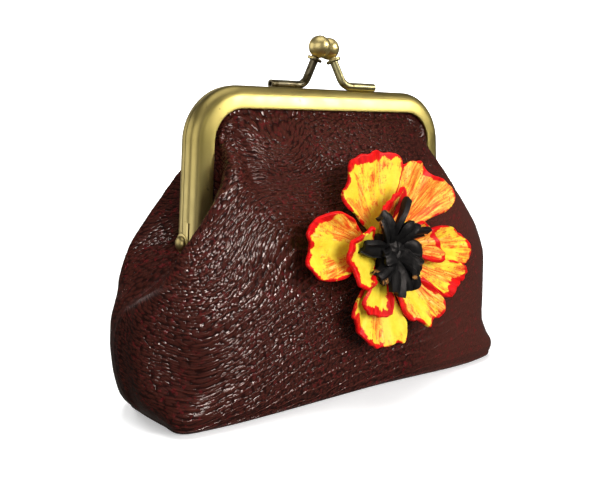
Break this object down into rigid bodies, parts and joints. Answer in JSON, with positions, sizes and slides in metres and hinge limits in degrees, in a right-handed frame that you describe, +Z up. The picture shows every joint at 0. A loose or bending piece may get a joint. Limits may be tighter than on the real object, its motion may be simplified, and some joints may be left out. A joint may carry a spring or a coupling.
{
  "type": "kiss lock coin purse",
  "caption": "Soft leather coin purse in an arched brass frame with hinged halves, closed by a kiss lock of crossed balls, with a clay flower glued to its front",
  "frame": {"origin": "middle of the base, on the surface that the purse stands on, below the middle of the frame", "axes": "+X along the frame, to the right as seen from the front; +Y to the back, so that the flower faces -Y; +Z up"},
  "size_m": [0.1696, 0.0682, 0.1276],
  "materials": {
    "leather": "glossy pebbled grain",
    "brass": "antique satin",
    "petal_clay": "satin, red rims",
    "centre_clay": "matte"
  },
  "bodies": {
    "root": {"front_panel": "leather", "back_panel": "leather", "front_frame": "brass", "back_frame": "brass", "left_rivet": "brass", "right_rivet": "brass", "front_clasp": "brass", "back_clasp": "brass", "flower_base": "petal_clay", "petal_1": "petal_clay", "petal_2": "petal_clay", "petal_3": "petal_clay", "petal_4": "petal_clay", "petal_5": "petal_clay", "petal_6": "petal_clay", "petal_7": "petal_clay", "inner_petal_1": "petal_clay", "inner_petal_2": "petal_clay", "inner_petal_3": "petal_clay", "inner_petal_4": "petal_clay", "flower_centre": "centre_clay"}
  },
  "joints": []
}
